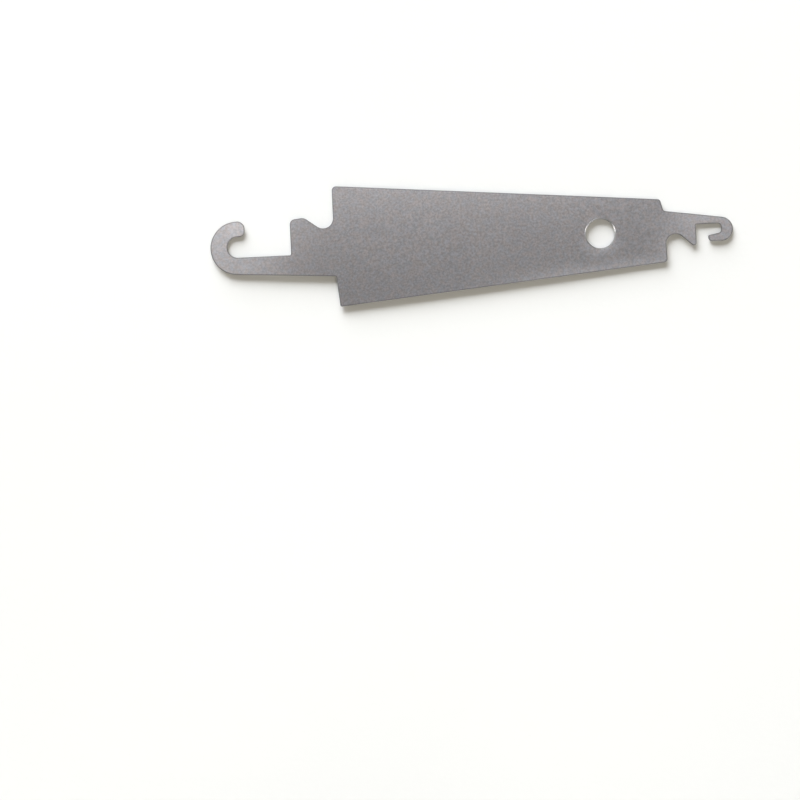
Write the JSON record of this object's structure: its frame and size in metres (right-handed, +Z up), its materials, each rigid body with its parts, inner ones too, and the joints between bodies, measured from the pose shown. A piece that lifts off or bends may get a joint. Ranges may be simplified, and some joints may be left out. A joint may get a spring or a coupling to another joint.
{
  "type": "needle threader",
  "caption": "Flat tapered steel needle threader with a large yarn hook at one end, a small thread hook at the other and a round hanging hole.",
  "frame": {"origin": "bottom centre of the bounding box, on the face that the threader lies on", "axes": "+X along the threader towards the small thread hook, +Y across it towards the edge beside the yarn hook's notch, +Z up out of the flat sheet"},
  "size_m": [0.045, 0.0104, 0.0003],
  "materials": {
    "satin_steel": "fine matt satin, no plating and no marks"
  },
  "bodies": {
    "root": {"threader_plate": "satin_steel"}
  },
  "joints": []
}
